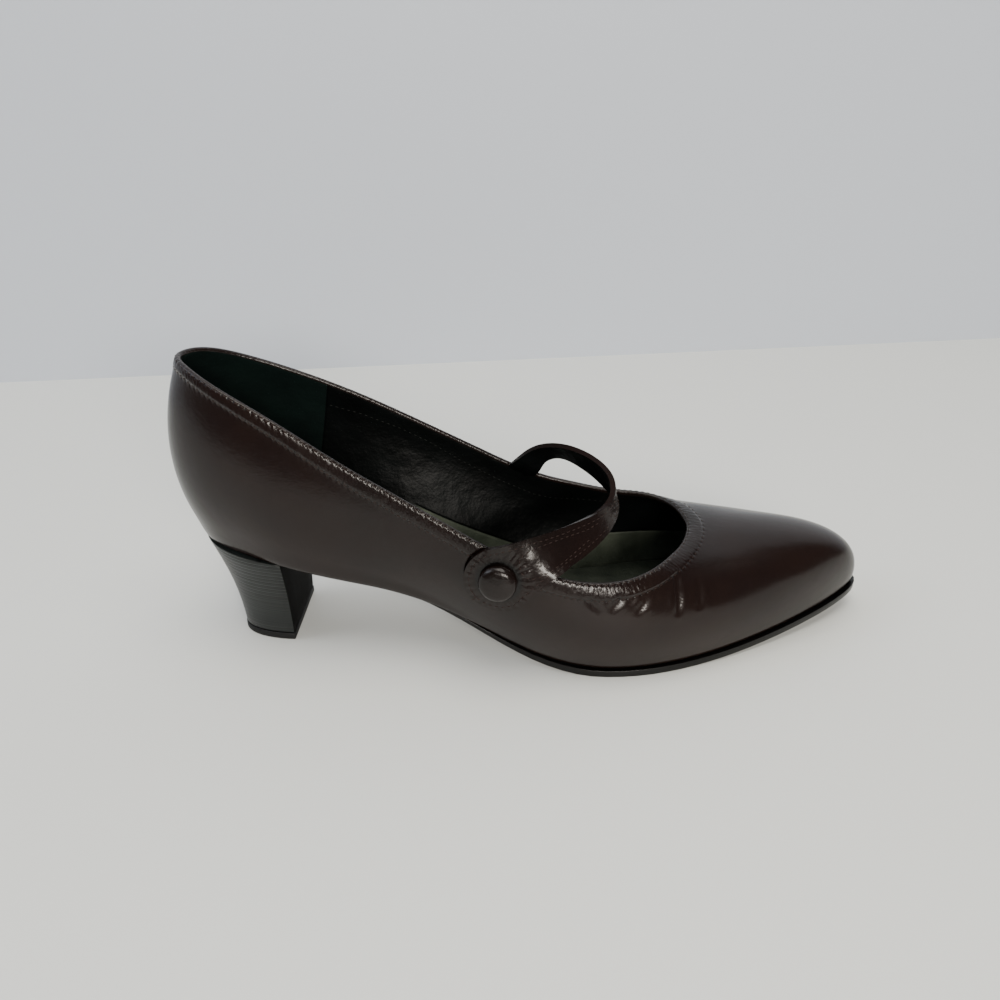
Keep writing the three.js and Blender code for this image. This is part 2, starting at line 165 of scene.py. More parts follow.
# %% Material helpers
def hexa(text):
    """An sRGB hex colour as linear red, green, blue and alpha."""
    shares = [int(text[i:i + 2], 16) / 255 for i in (0, 2, 4)]
    return (*(c / 12.92 if c < 0.04045 else ((c + 0.055) / 1.055) ** 2.4 for c in shares), 1)


def add(material, kind, inputs=None, **settings):
    """Adds a node. inputs gives its sockets, by name or number, a value or a link."""
    tree = material.node_tree
    made = tree.nodes.new("ShaderNode" + kind)
    for name, value in settings.items():
        setattr(made, name, value)
    for key, value in (inputs or {}).items():
        if isinstance(value, bpy.types.NodeSocket):
            tree.links.new(value, made.inputs[key])
        else:
            made.inputs[key].default_value = value
    return made


def new_material(name, **sockets):
    """A Principled material with the values of its plain sockets set."""
    material = bpy.data.materials.new(name)
    material.use_nodes = True
    shader = material.node_tree.nodes["Principled BSDF"]
    for key, value in sockets.items():
        shader.inputs[key.replace("_", " ")].default_value = value
    return material, shader


def link(material, source, target):
    material.node_tree.links.new(source, target)


def ramp(material, factor, *stops):
    """A colour ramp with (place, hex) stops."""
    made = add(material, "ValToRGB", {0: factor})
    marks = made.color_ramp.elements
    marks[0].position, marks[0].color = stops[0][0], hexa(stops[0][1])
    marks[1].position, marks[1].color = stops[-1][0], hexa(stops[-1][1])
    for position, colour in stops[1:-1]:
        marks.new(position).color = hexa(colour)
    return made.outputs["Color"]


def math_of(material, operation, *values):
    return add(material, "Math", dict(enumerate(values)), operation=operation).outputs[0]


def objects_place(material):
    return add(material, "TexCoord").outputs["Object"]


# %% [markdown]
# ## Masks in a shader
# A seam, a groove or a band needs a number that is 1 where it runs and 0 elsewhere. Two
# small functions make such masks from a distance, and a third mixes two colours by one.


# %% Masks in a shader
def bell(material, value, centre, width):
    """1 where value is at the centre, falling softly to 0 about two widths away."""
    off = math_of(material, "DIVIDE", math_of(material, "SUBTRACT", value, centre), width)
    return math_of(material, "EXPONENT", math_of(material, "MULTIPLY", off,
                                                 math_of(material, "MULTIPLY", off, -1.0)))


def step_up(material, value, low, high):
    """0 below low, 1 above high, smooth between them."""
    return add(material, "MapRange", {0: value, 1: low, 2: high},
               interpolation_type="SMOOTHSTEP").outputs[0]


def mix(material, factor, first, second):
    made = add(material, "Mix", {0: factor}, data_type="RGBA")
    for socket, value in zip([s for s in made.inputs if s.type == "RGBA"], (first, second)):
        if isinstance(value, str):
            socket.default_value = hexa(value)
        else:
            link(material, value, socket)
    return next(s for s in made.outputs if s.type == "RGBA")


def map_parts(material, name):
    """The two numbers of a UV map: here always lengths in metres on the leather."""
    parts = add(material, "SeparateXYZ", {0: add(material, "UVMap", uv_map=name).outputs[0]})
    return parts.outputs[0], parts.outputs[1]


# %% [markdown]
# ## Smooth brown leather
# Aniline-dyed calf, plated smooth: very dark brown with reddish depths, a satin wax finish
# and a fine grain. Grain and wrinkles are too small to model, so they are heights for a bump
# node, in millimetres. The real grain is about 0.4 mm and is drawn at 0.7 mm, so that it
# shows. The seams draw the leather in: there the height waves with every stitch, and each
# needle hole is a pit darkened with painted shade. One function makes the leather; the collar
# and the strap differ only in where their seams run, which their own UV maps tell.


# %% Brown leather
GRAIN = 0.7 * MM
STITCH = 2.3 * MM


def brown_leather(name, wrinkle):
    """The leather without seams: material, shader, colour and height in mm."""
    material, shader = new_material(name, IOR=1.5, Specular_IOR_Level=0.3)
    spot = objects_place(material)
    cloud = add(material, "TexNoise", {"Vector": spot, "Scale": 1 / (45 * MM), "Detail": 3})
    fleck = add(material, "TexNoise", {"Vector": spot, "Scale": 1 / (1.6 * MM), "Detail": 4})
    tone = math_of(material, "MULTIPLY_ADD", fleck.outputs["Fac"], 0.15, cloud.outputs["Fac"])
    colour = ramp(material, tone, (0.35, "0c0705"), (0.55, "130a08"), (0.8, "1a100c"))
    pores = add(material, "TexVoronoi", {"Vector": spot, "Scale": 1 / GRAIN},
                feature="SMOOTH_F1")
    folds = add(material, "TexNoise", {"Vector": spot, "Scale": 1 / (3.0 * MM), "Detail": 5})
    height = math_of(material, "MULTIPLY_ADD", folds.outputs["Fac"], wrinkle,
                     math_of(material, "MULTIPLY", pores.outputs["Distance"], 0.018))
    shine = math_of(material, "MULTIPLY_ADD", fleck.outputs["Fac"], 0.06, 0.21)
    link(material, shine, shader.inputs["Roughness"])
    return material, shader, colour, height


def finish_leather(material, shader, colour, height):
    bump = add(material, "Bump", {"Height": height, "Distance": MM, "Strength": 1.0})
    link(material, bump.outputs["Normal"], shader.inputs["Normal"])
    link(material, colour, shader.inputs["Base Color"])
    return material


def seam(material, along, rows, colour, height, depth):
    """Puckers and needle holes, darkened with painted shade, along a stitched row. rows is its mask,
    wide and narrow.
    """
    wide, narrow = rows
    wave = math_of(material, "COSINE", math_of(material, "MULTIPLY", along, 2 * math.pi / STITCH))
    pulled = math_of(material, "MULTIPLY", wide, math_of(material, "MULTIPLY_ADD", wave, -depth, -depth))
    pit = math_of(material, "EXPONENT", math_of(material, "MULTIPLY_ADD", wave, 5, -5))
    # The needle holes are dented and darkened: painted shade in them.
    needle_hole_shade = math_of(material, "MULTIPLY", pit, narrow)
    colour = mix(material, needle_hole_shade, colour, "060404")
    height = math_of(material, "ADD", height, pulled)
    return colour, math_of(material, "MULTIPLY_ADD", needle_hole_shade, -0.1, height)


def collar_leather():
    """The upper: two stitched rows on the turned band, and wrinkles across the band."""
    material, shader, colour, height = brown_leather("smooth_brown_calf", 0.05)
    along, down = map_parts(material, "from_crest")
    edge = map_parts(material, "from_edge")[1]
    for level, row in ((down, FIRST_ROW), (edge, SECOND_ROW)):
        rows = (bell(material, level, row, 1.0 * MM), bell(material, level, row, 0.42 * MM))
        colour, height = seam(material, along, rows, colour, height, 0.035)
    off_button = add(material, "VectorMath", {0: objects_place(material), 1: tuple(BUTTON)},
                     operation="DISTANCE").outputs["Value"]
    # A painted shadow: the upper is darkened in a ring where the tab's edge lies on it, and a groove is
    # bumped in there as well.
    tab_shadow_and_groove = bell(material, off_button, 13.0 * MM, 0.5 * MM)
    colour = mix(material, tab_shadow_and_groove, colour, "020101")
    height = math_of(material, "MULTIPLY_ADD", tab_shadow_and_groove, -0.35, height)
    on_band = step_up(material, edge, 0.4 * MM, -0.4 * MM)
    across = add(material, "CombineXYZ", {0: math_of(material, "DIVIDE", along, 1.1 * MM),
                                          1: math_of(material, "DIVIDE", down, 3.2 * MM)})
    pleats = add(material, "TexNoise", {"Vector": across.outputs[0], "Scale": 1, "Detail": 4})
    pleat = math_of(material, "MULTIPLY", pleats.outputs["Fac"], on_band)
    height = math_of(material, "MULTIPLY_ADD", pleat, 0.28, height)
    return finish_leather(material, shader, colour, height)


def tab_leather():
    """The strap: pleats stand like rays round the button, where the leather is turned in."""
    material, shader, colour, height = brown_leather("smooth_brown_calf_of_strap", 0.2)
    forward, aside = map_parts(material, "round_button")
    reach = math_of(material, "SQRT", math_of(
        material, "MULTIPLY_ADD", forward, forward, math_of(material, "MULTIPLY", aside, aside)))
    turn = math_of(material, "ARCTAN2", aside, forward)
    ring = bell(material, reach, 10.6 * MM, 1.9 * MM)
    uneven = add(material, "TexNoise", {"Vector": objects_place(material), "Scale": 1 / (5 * MM)})
    phase = math_of(material, "MULTIPLY_ADD", uneven.outputs["Fac"], 9.0,
                    math_of(material, "MULTIPLY", turn, 26))
    ray = math_of(material, "MULTIPLY", math_of(material, "COSINE", phase), ring)
    shade = bell(material, reach, 7.3 * MM, 1.0 * MM)
    colour = mix(material, shade, colour, "030202")
    height = math_of(material, "MULTIPLY_ADD", ray, 0.08, height)
    return finish_leather(material, shader, colour, height)


BUTTON = sum(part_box("button"), Vector()) / 2
FIRST_ROW = 1.9 * MM       # from the crest of the topline down to the upper stitch row
SECOND_ROW = 0.7 * MM      # from the band's lower edge down to the other row
calf = collar_leather()
strap_calf = tab_leather()
edge_calf = finish_leather(*brown_leather("shaded_calf_of_turned_edge", 0.1))
edge_calf.node_tree.nodes["Principled BSDF"].inputs["Specular IOR Level"].default_value = 0.05
button_calf = finish_leather(*brown_leather("wrinkled_brown_calf_of_button", 0.35))


# %% [markdown]
# ## Thread
# Bonded brown thread, a little lighter than the leather and with hardly any gloss. The row
# on the lining is sewn with a darker one.


# %% Thread
def sewing_thread(name, dark, light):
    material, shader = new_material(name, Roughness=0.6, IOR=1.5, Specular_IOR_Level=0.2)
    spot = objects_place(material)
    twist = add(material, "TexNoise", {"Vector": spot, "Scale": 1 / (0.4 * MM), "Detail": 2})
    shade = ramp(material, twist.outputs["Fac"], (0.3, dark), (0.75, light))
    link(material, shade, shader.inputs["Base Color"])
    return material


thread = sewing_thread("brown_sewing_thread", "1c120f", "2e211c")
dark_thread = sewing_thread("dark_lining_thread", "080908", "121412")


# %% [markdown]
# ## Linings
# The lining is black kid. The heel pocket, behind a leaning seam, is a dark teal suede that
# grips the foot. Low down in front the grey-green sock leather climbs the wall. All three are
# one material, whose colours meet along lines given in the shoe's own millimetres.


# %% Lining and sock
SEAM_LEAN = 0.186                          # the pocket's seam goes forward so much as it climbs
SEAM_FOOT = (49.3 - SEAM_LEAN * 63.3) * MM     # where it would meet the floor
BORDER_FALL = 0.52                         # the sock's border falls so much as it goes forward
BORDER_TOP = (39.2 + BORDER_FALL * 87.6) * MM  # its height if it reached the back of the heel
BORDER_LOW = 18.5 * MM                     # its height from the ball to the toes


def lining_leather():
    material, shader = new_material("black_kid_lining", IOR=1.45, Specular_IOR_Level=0.12)
    spot = objects_place(material)
    parts = add(material, "SeparateXYZ", {0: spot})
    along = math_of(material, "SUBTRACT", parts.outputs[0], HEEL_X)
    up = parts.outputs[2]
    seam_at = math_of(material, "MULTIPLY_ADD", up, SEAM_LEAN, SEAM_FOOT)
    ahead = math_of(material, "SUBTRACT", along, seam_at)
    cloud = add(material, "TexNoise", {"Vector": spot, "Scale": 1 / (14 * MM), "Detail": 5})
    kid = ramp(material, cloud.outputs["Fac"], (0.3, "030404"), (0.8, "070a0a"))
    suede = ramp(material, cloud.outputs["Fac"], (0.3, "020a09"), (0.8, "061411"))
    # The sock leather where it climbs the wall, painted lighter than on the sock itself: painted light
    # from above.
    green = ramp(material, cloud.outputs["Fac"], (0.3, "2a2f27"), (0.8, "4e5348"))
    colour = mix(material, step_up(material, ahead, -0.2 * MM, 0.2 * MM), suede, kid)
    slope = math_of(material, "MULTIPLY_ADD", along, -BORDER_FALL, BORDER_TOP)
    border = math_of(material, "MAXIMUM", slope, BORDER_LOW)
    below = math_of(material, "SUBTRACT", border, up)
    in_front = step_up(material, along, 84 * MM, 90 * MM)
    covered = math_of(material, "MULTIPLY", step_up(material, below, -0.3 * MM, 0.3 * MM), in_front)
    colour = mix(material, covered, colour, green)
    link(material, colour, shader.inputs["Base Color"])
    rough = math_of(material, "MULTIPLY_ADD", step_up(material, ahead, -0.2 * MM, 0.2 * MM), -0.4, 0.85)
    link(material, rough, shader.inputs["Roughness"])
    nap = add(material, "TexNoise", {"Vector": spot, "Scale": 1 / (0.9 * MM), "Detail": 4})
    folds = add(material, "TexNoise", {"Vector": spot, "Scale": 1 / (9 * MM), "Detail": 3})
    height = math_of(material, "MULTIPLY_ADD", folds.outputs["Fac"], 0.9,
                     math_of(material, "MULTIPLY", nap.outputs["Fac"], 0.12))
    groove = math_of(material, "ADD", bell(material, ahead, 0.0, 0.5 * MM),
                     math_of(material, "MULTIPLY", bell(material, below, 0.0, 0.5 * MM), in_front))
    height = math_of(material, "MULTIPLY_ADD", groove, -0.35, height)
    bump = add(material, "Bump", {"Height": height, "Distance": MM, "Strength": 1.0})
    link(material, bump.outputs["Normal"], shader.inputs["Normal"])
    return material


def sock_leather():
    material, shader = new_material("grey_green_sock_leather_painted_darker_as_shade", Roughness=0.5, IOR=1.45)
    spot = objects_place(material)
    cloud = add(material, "TexNoise", {"Vector": spot, "Scale": 1 / (12 * MM), "Detail": 6})
    # The same grey-green leather as low on the lining's wall, painted darker: painted shade, as the sock
    # lies deep in the shoe.
    colour = ramp(material, cloud.outputs["Fac"], (0.3, "151a14"), (0.8, "34392f"))
    link(material, colour, shader.inputs["Base Color"])
    folds = add(material, "TexNoise", {"Vector": spot, "Scale": 1 / (5 * MM), "Detail": 5})
    height = math_of(material, "MULTIPLY", folds.outputs["Fac"], 0.5)
    bump = add(material, "Bump", {"Height": height, "Distance": MM, "Strength": 1.0})
    link(material, bump.outputs["Normal"], shader.inputs["Normal"])
    return material


black_lining = lining_leather()
sock = sock_leather()


# %% [markdown]
# ## Sole and heel finishes
# The sole is a moulded black resin with a waxed edge. The heel is leather-look stacked
# board, dyed black: layers of 1.8 mm, which show as dark lines, most of all in its upper
# part. A cosine along the height, raised to a narrow peak by an exponential, draws them.


# %% Sole, heel and top piece
def sole_resin():
    material, shader = new_material("waxed_black_sole_edge", Roughness=0.22, IOR=1.5,
                                    Specular_IOR_Level=0.3)
    spot = objects_place(material)
    cloud = add(material, "TexNoise", {"Vector": spot, "Scale": 1 / (6 * MM), "Detail": 4})
    colour = ramp(material, cloud.outputs["Fac"], (0.3, "040404"), (0.8, "090808"))
    link(material, colour, shader.inputs["Base Color"])
    return material


LAYER = 1.8 * MM


def stacked_heel():
    material, shader = new_material("dyed_stacked_heel_board", Roughness=0.36, IOR=1.5,
                                    Specular_IOR_Level=0.35)
    spot = objects_place(material)
    flat = add(material, "Mapping", {"Vector": spot, "Scale": (1 / 0.04, 1 / 0.04, 1 / 0.0013)})
    grain = add(material, "TexNoise", {"Vector": flat.outputs[0], "Scale": 1, "Detail": 3})
    up = add(material, "SeparateXYZ", {0: spot}).outputs[2]
    wave = math_of(material, "COSINE", math_of(material, "MULTIPLY", up, 2 * math.pi / LAYER))
    line = math_of(material, "EXPONENT", math_of(material, "MULTIPLY_ADD", wave, 8, -8))
    high = step_up(material, up, 14 * MM, 34 * MM)
    line = math_of(material, "MULTIPLY", line, math_of(material, "MULTIPLY_ADD", high, 0.8, 0.2))
    colour = ramp(material, grain.outputs["Fac"], (0.3, "080b0a"), (0.7, "121716"))
    link(material, mix(material, line, colour, "040505"), shader.inputs["Base Color"])
    height = math_of(material, "MULTIPLY_ADD", line, -0.12,
                     math_of(material, "MULTIPLY", grain.outputs["Fac"], 0.12))
    bump = add(material, "Bump", {"Height": height, "Distance": MM})
    link(material, bump.outputs["Normal"], shader.inputs["Normal"])
    return material


def heel_front():
    """The breast, in shade under the arch, is matt and painted darker than the heel: painted shade."""
    material, shader = new_material("matt_black_breast_in_painted_shade", Roughness=0.8, IOR=1.4,
                                    Specular_IOR_Level=0.1)
    spot = objects_place(material)
    cloud = add(material, "TexNoise", {"Vector": spot, "Scale": 1 / (3 * MM), "Detail": 3})
    colour = ramp(material, cloud.outputs["Fac"], (0.3, "050505"), (0.8, "0b0b0b"))
    link(material, colour, shader.inputs["Base Color"])
    return material


def top_rubber():
    material, shader = new_material("hard_black_rubber", Roughness=0.6, IOR=1.5,
                                    Specular_IOR_Level=0.3)
    spot = objects_place(material)
    cloud = add(material, "TexNoise", {"Vector": spot, "Scale": 1 / (2 * MM), "Detail": 3})
    colour = ramp(material, cloud.outputs["Fac"], (0.3, "060606"), (0.8, "0b0b0b"))
    link(material, colour, shader.inputs["Base Color"])
    return material


edge_wax = sole_resin()
heel_board = stacked_heel()
breast_in_painted_shade = heel_front()
rubber = top_rubber()


# %% [markdown]
# ## The upper
# The leather and its lining are one wall, closed over the topline. Its mesh is a grid: ribs
# that climb from the feather line over the topline and down the lining, side by side round
# the shoe. Walking along the grid tells which rib and which row every point is on.


# %% Grid of the upper
def straight_on(vertex, edge):
    """The edge that goes on straight through a vertex where four quads meet."""
    beside = set(edge.link_faces)
    return next(e for e in vertex.link_edges if not beside & set(e.link_faces))


def walk(start, edge):
    """Vertices met going straight from start along edge until back at start."""
    met = [start]
    vertex = edge.other_vert(start)
    while vertex is not start:
        met.append(vertex)
        edge = straight_on(vertex, edge)
        vertex = edge.other_vert(vertex)
    return met


def grid_of_upper(piece):
    """Vertex numbers as ribs round the shoe from the back, each from the feather line up."""
    mesh = bmesh.new()
    mesh.from_mesh(piece.data)
    behind = [v for v in mesh.verts
              if abs(v.co.y - HEEL_Y) < 0.05 * MM and v.co.x < HEEL_X + 60 * MM]
    lowest = sorted(behind, key=lambda v: v.co.z)[:2]
    foot = min(lowest, key=lambda v: v.co.x)
    sideways = [e for e in foot.link_edges if e.other_vert(foot) not in behind]
    lateral = min(sideways, key=lambda e: e.other_vert(foot).co.y)
    feather = walk(foot, lateral)
    ring = set(feather)
    ribs = []
    for v in feather:
        across = [e for e in v.link_edges if e.other_vert(v) not in ring]
        up = max(across, key=lambda e: e.other_vert(v).co.z)
        ribs.append([w.index for w in walk(v, up)])
    mesh.free()
    return ribs


upper = quad_copy("upper", "upper_leather")
RIBS = grid_of_upper(upper)
print(len(RIBS), "ribs of", {len(r) for r in RIBS}, "points")

# %% [markdown]
# ## Maps along the topline
# Seams follow the topline, so the leather gets two UV maps in metres: how far along the
# topline a point lies, and how far below its crest, or below the lower edge of the band.
# They are written on the plain grid, and subdivision carries them along.

# %% Maps of the upper
CREST = 15
TURNED_IN = 16
BAND_EDGE = 12
points = upper.data.vertices


def span(one, two):
    return (points[one].co - points[two].co).length


def lengths_down(rib):
    """Distance of each point of a rib below the crest, outside positive, inside negative."""
    down = [0.0] * len(rib)
    for row in range(CREST - 1, -1, -1):
        down[row] = down[row + 1] + span(rib[row], rib[row + 1])
    for row in range(CREST + 1, len(rib)):
        down[row] = down[row - 1] - span(rib[row], rib[row - 1])
    return down


ALONG = [0.0]
for here, there in zip(RIBS, RIBS[1:] + RIBS[:1]):
    ALONG.append(ALONG[-1] + span(here[CREST], there[CREST]))
STITCHES_ROUND = round(ALONG[-1] / STITCH)
FIT = STITCHES_ROUND * STITCH / ALONG[-1]     # so that whole stitches go round
ALONG = [length * FIT for length in ALONG]
DOWN = [lengths_down(rib) for rib in RIBS]
spot_of = {number: (i, row) for i, rib in enumerate(RIBS) for row, number in enumerate(rib)}
crest_map = upper.data.uv_layers.new(name="from_crest")
edge_map = upper.data.uv_layers.new(name="from_edge")
for face in upper.data.polygons:
    ribs_here = {spot_of[n][0] for n in face.vertices}
    closing = ribs_here == {0, len(RIBS) - 1}
    for corner in face.loop_indices:
        i, row = spot_of[upper.data.loops[corner].vertex_index]
        along = ALONG[-1] if closing and i == 0 else ALONG[i]
        crest_map.data[corner].uv = (along, DOWN[i][row])
        edge_map.data[corner].uv = (along, DOWN[i][row] - DOWN[i][BAND_EDGE])
print("topline", round(ALONG[-1] / MM), "mm,", STITCHES_ROUND, "stitches round")


def on_grid(along, below):
    """A point on the outer wall, that far along the topline and below its crest (a function
    of the rib's number gives how far)."""
    along %= ALONG[-1]
    i = max(n for n in range(len(RIBS)) if ALONG[n] <= along)
    share = (along - ALONG[i]) / (ALONG[i + 1] - ALONG[i])
    found = []
    for n in (i, (i + 1) % len(RIBS)):
        depth, down = below(n), DOWN[n]
        row = next(r for r in range(CREST - 1, -1, -1) if down[r] >= depth or r == 0)
        part = (depth - down[row + 1]) / (down[row] - down[row + 1])
        found.append(points[RIBS[n][row + 1]].co.lerp(points[RIBS[n][row]].co, part))
    return found[0].lerp(found[1], share)


FIRST_PATH = [on_grid((n + 0.5) * STITCH, lambda i: FIRST_ROW) for n in range(STITCHES_ROUND)]
SECOND_PATH = [on_grid((n + 0.5) * STITCH, lambda i: DOWN[i][BAND_EDGE] + SECOND_ROW)
               for n in range(STITCHES_ROUND)]

# %% [markdown]
# ## Leather and creases
# Worn leather folds where the toes bend, behind the throat and along the vamp. Each crease is
# given as a short line of points on the shoe, and the surface is pressed in along
# it with a low ridge on both sides, strongest in the middle and fading at its ends.

# %% Leather of the upper
upper.data.materials.append(calf)
upper.data.materials.append(black_lining)
LET_DOWN = 3.2 * MM        # how far the leather's lower edge hides the edge of the sole
WAIST_END = HEEL_X + 118 * MM
WAIST_FADE = 30 * MM
for i, rib in enumerate(RIBS):
    foot = points[rib[0]].co
    foot.z -= LET_DOWN * min(1, max(0, (WAIST_END - foot.x) / WAIST_FADE))
row_of = {number: row for rib in RIBS for row, number in enumerate(rib)}
for face in upper.data.polygons:
    rows = sorted(row_of[n] for n in face.vertices)
    lined = rows[0] >= TURNED_IN and rows[-1] > TURNED_IN
    face.material_index = 1 if lined else 0
use(upper, "SUBSURF", levels=2, render_levels=2)

CREASES = [      # depth and width in mm, then points along, across and up
    (0.55, 1.2, (184.6, -22.5, 37.0), (185.2, -25.8, 34.1), (185.5, -28.4, 30.7), (185.3, -30.2, 27.2)),
    (0.45, 1.1, (193.1, -20.9, 34.0), (193.5, -23.7, 31.2), (193.2, -26.2, 27.7)),
    (0.4, 1.2, (173.0, -32.5, 33.3), (170.6, -34.6, 30.4)),
    (0.45, 1.2, (164.6, -34.4, 36.4), (161.6, -36.3, 32.2)),
    (0.4, 1.2, (153.4, -36.7, 36.4), (156.4, -37.1, 31.8)),
    (0.2, 2.2, (81.2, -29.0, 69.9), (82.3, -29.3, 64.3), (83.4, -29.7, 59.3)),
    (0.3, 1.4, (186.5, 37.0, 33.5), (188.0, 41.0, 28.5), (188.5, 43.5, 23.5)),
    (0.24, 1.3, (179.0, 40.0, 33.0), (180.0, 43.0, 28.5)),
]


def line_distance(spot, path):
    """Distance of a point from a broken line, and how far along it, from 0 to 1."""
    best = (1.0, 0.0)
    for n, (one, two) in enumerate(zip(path, path[1:])):
        run = two - one
        part = min(1, max(0, (spot - one).dot(run) / run.length_squared))
        away = (spot - one - run * part).length
        best = min(best, (away, (n + part) / (len(path) - 1)))
    return best


def press_crease(piece, depth, width, path):
    """Presses a soft trough with low ridges beside it into the surface."""
    reach = 3.5 * width
    low = Vector([min(p[k] for p in path) - reach for k in range(3)])
    high = Vector([max(p[k] for p in path) + reach for k in range(3)])
    for vertex, normal in zip(piece.data.vertices, OUT):
        spot = vertex.co
        if not all(low[k] < spot[k] < high[k] for k in range(3)):
            continue
        away, share = line_distance(spot, path)
        fade = math.sin(math.pi * (0.08 + 0.84 * share)) ** 0.6
        trough = math.exp(-(away / width) ** 2)
        ridge = math.exp(-((away - 2 * width) / width) ** 2)
        vertex.co = spot + normal * depth * fade * (0.45 * ridge - trough)


OUT = [vertex.normal.copy() for vertex in upper.data.vertices]
for depth, width, *path in CREASES:
    press_crease(upper, depth * MM, width * MM, [place(*p) for p in path])
only(upper)
bpy.ops.object.shade_smooth()
print("upper:", len(upper.data.polygons), "faces")

# %% [markdown]
# ## Stitches
# A stitch is a short, fat capsule of thread, half sunk in the leather. A row is a joined mesh
# of such capsules, one for every point of a path, each turned along the row and pressed on
# the surface under it.


# %% Stitches
def nearest_on(piece):
    return BVHTree.FromPolygons([v.co for v in piece.data.vertices],
                                [p.vertices for p in piece.data.polygons])


def stitch_row(name, path, surface, material, closed=False, size=(0.72, 0.16)):
    """A joined mesh of stitches on the surface, one at each point of the path."""
    half, radius = size[0] * MM, size[1] * MM
    verts, faces = [], []
    ends = range(len(path)) if closed else range(len(path) - 1)
    for n in ends:
        here, there = path[n], path[(n + 1) % len(path)]
        spot, out, _, _ = surface.find_nearest(here)
        ahead = (there - here).normalized()
        ahead = (ahead - out * ahead.dot(out)).normalized()
        side = out.cross(ahead)
        first = len(verts)
        verts.append(spot - ahead * half)
        for share, wide in ((-0.6, 0.85), (0.0, 1.0), (0.6, 0.85)):
            for step in range(6):
                turn = step * math.pi / 3
                verts.append(spot + ahead * half * share + radius * wide *
                             (side * math.cos(turn) + out * math.sin(turn)))
        verts.append(spot + ahead * half)
        last = len(verts) - 1
        for step in range(6):
            after = (step + 1) % 6
            faces.append((first, first + 1 + after, first + 1 + step))
            for ring in (1, 7):
                faces.append((first + ring + step, first + ring + after,
                              first + ring + 6 + after, first + ring + 6 + step))
            faces.append((last, first + 13 + step, first + 13 + after))
    mesh = bpy.data.meshes.new(name)
    mesh.from_pydata(verts, [], faces)
    row = bpy.data.objects.new(name, mesh)
    bpy.context.scene.collection.objects.link(row)
    mesh.materials.append(material)
    only(row)
    bpy.ops.object.shade_smooth()
    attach(row, "root")
    print(name, len(ends), "stitches")


def resampled(path, pitch):
    """Points every pitch along a broken line."""
    out, left = [path[0]], pitch
    for one, two in zip(path, path[1:]):
        run = (two - one).length
        while left <= run:
            out.append(one.lerp(two, left / run))
            left += pitch
        left -= run
    return out


upper_skin = nearest_on(upper)
stitch_row("collar_stitches", FIRST_PATH, upper_skin, thread, closed=True)
stitch_row("band_edge_stitches", SECOND_PATH, upper_skin, thread, closed=True)
LINING_ROW = [(52.5, 25.0, 82.0), (66, 26.0, 77.5), (80.4, 26.8, 71.0), (91.7, 28.2, 64.5),
              (103.3, 29.7, 56.1), (119.2, 31.6, 46.4), (133.0, 33.1, 39.5), (140.9, 34.1, 37.3),
              (160.2, 34.6, 36.1), (170.3, 33.2, 37.6)]
lining_path = resampled([place(*p) for p in LINING_ROW], STITCH)
stitch_row("lining_stitches", lining_path, upper_skin, dark_thread)

# %% [markdown]
# ## Sock, sole and heel
# These have sharp edges that real ones round off a little, so each gets a narrow bevel, and
# smooth shading stops at the edges that stay sharp. The flat front of the heel lies in shade,
# so its faces, which look forward, get a darker, matt material of their own: painted shade.

# %% Sock, sole and heel
insole = quad_copy("insole", "sock")
insole.data.materials.append(sock)
use(insole, "BEVEL", width=0.5 * MM, segments=2, limit_method="ANGLE")
bpy.ops.object.shade_smooth_by_angle(angle=math.radians(40))

outsole = quad_copy("outsole", "outsole")
outsole.data.materials.append(edge_wax)
use(outsole, "BEVEL", width=0.4 * MM, segments=3, limit_method="ANGLE")
bpy.ops.object.shade_smooth_by_angle(angle=math.radians(40))

heel = quad_copy("heel", "heel_block")
heel.data.materials.append(heel_board)
heel.data.materials.append(breast_in_painted_shade)
# Faces that look forward, the breast, get the second, darker matt material: painted shade.
for face in heel.data.polygons:
    face.material_index = 1 if face.normal.x > 0.8 else 0
use(heel, "BEVEL", width=0.4 * MM, segments=2, limit_method="ANGLE")
bpy.ops.object.shade_smooth_by_angle(angle=math.radians(40))

top_piece = quad_copy("top_piece", "heel_top_piece")
top_piece.data.materials.append(rubber)
use(top_piece, "BEVEL", width=0.3 * MM, segments=2, limit_method="ANGLE")
bpy.ops.object.shade_smooth_by_angle(angle=math.radians(40))

# %% [markdown]
# ## Strap
# Two leathers back to back: brown calf outside, black kid towards the foot. Its inner end is
# sewn in between the leather and the lining of the upper, so the copy's end is thinned and
# drawn into the wall there. A flat UV map round the button lets the shader draw its pleats.

# %% Strap
strap = quad_copy("strap", "strap_leather")
strap.data.materials.append(strap_calf)
strap.data.materials.append(black_lining)
strap.data.materials.append(edge_calf)
SHARP = math.radians(50)


def face_side(piece, aim, spot):
    """Numbers of the faces reached, without crossing a sharp edge, from the face next to
    the spot that looks along aim."""
    mesh = bmesh.new()
    mesh.from_mesh(piece.data)
    first = min((f for f in mesh.faces if f.normal.dot(aim) > 0.5),
                key=lambda f: (f.calc_center_median() - spot).length)
    found, waiting = {first}, [first]
    while waiting:
        for edge in waiting.pop().edges:
            if edge.calc_face_angle(0) < SHARP:
                fresh = [f for f in edge.link_faces if f not in found]
                found.update(fresh)
                waiting += fresh
    numbers = {f.index for f in found}
    mesh.free()
    return numbers


